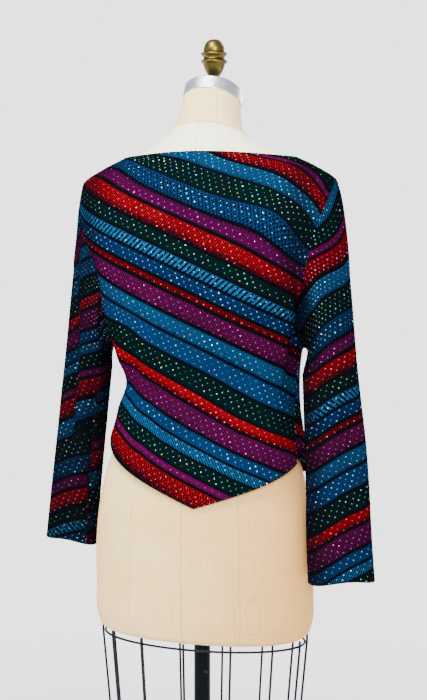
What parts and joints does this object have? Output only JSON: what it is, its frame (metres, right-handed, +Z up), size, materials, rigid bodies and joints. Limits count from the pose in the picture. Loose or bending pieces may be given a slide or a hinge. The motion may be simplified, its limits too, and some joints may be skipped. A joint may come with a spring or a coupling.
{
  "type": "cropped sweater on a dress form",
  "caption": "Cropped long-sleeve knit sweater with a boat neck, pointed hem and diagonal stripes, worn by a limbless dress form on a wire skirt, post and round foot.",
  "frame": {"origin": "centre of the foot's underside, on the floor, under the post's axis", "axes": "+Z up along the post; the form faces -Y; the wearer's left is +X"},
  "size_m": [0.563, 0.38, 1.5664],
  "materials": {
    "knit": "knitted stripes in blue, magenta, red, dark green and black, with small spangles",
    "linen": "matt linen over padding, paler smooth cover on the shoulders",
    "steel": "satin",
    "brass": "aged satin",
    "black_enamel": "semi-gloss",
    "black_iron": "black enamel, semi-gloss"
  },
  "bodies": {
    "root": {"back": "knit", "foot": "black_iron", "front": "knit", "knob": "brass", "knob_stem": "brass", "neck_cap": "steel", "post": "black_enamel", "skirt_ring_low": "black_enamel", "skirt_ring_top": "black_enamel", "skirt_wire_01": "black_enamel", "skirt_wire_02": "black_enamel", "skirt_wire_03": "black_enamel", "skirt_wire_04": "black_enamel", "skirt_wire_05": "black_enamel", "skirt_wire_06": "black_enamel", "skirt_wire_07": "black_enamel", "skirt_wire_08": "black_enamel", "skirt_wire_09": "black_enamel", "skirt_wire_10": "black_enamel", "skirt_wire_11": "black_enamel", "skirt_wire_12": "black_enamel", "skirt_wire_13": "black_enamel", "skirt_wire_14": "black_enamel", "sleeve_left": "knit", "sleeve_right": "knit", "torso": "linen"}
  },
  "joints": []
}
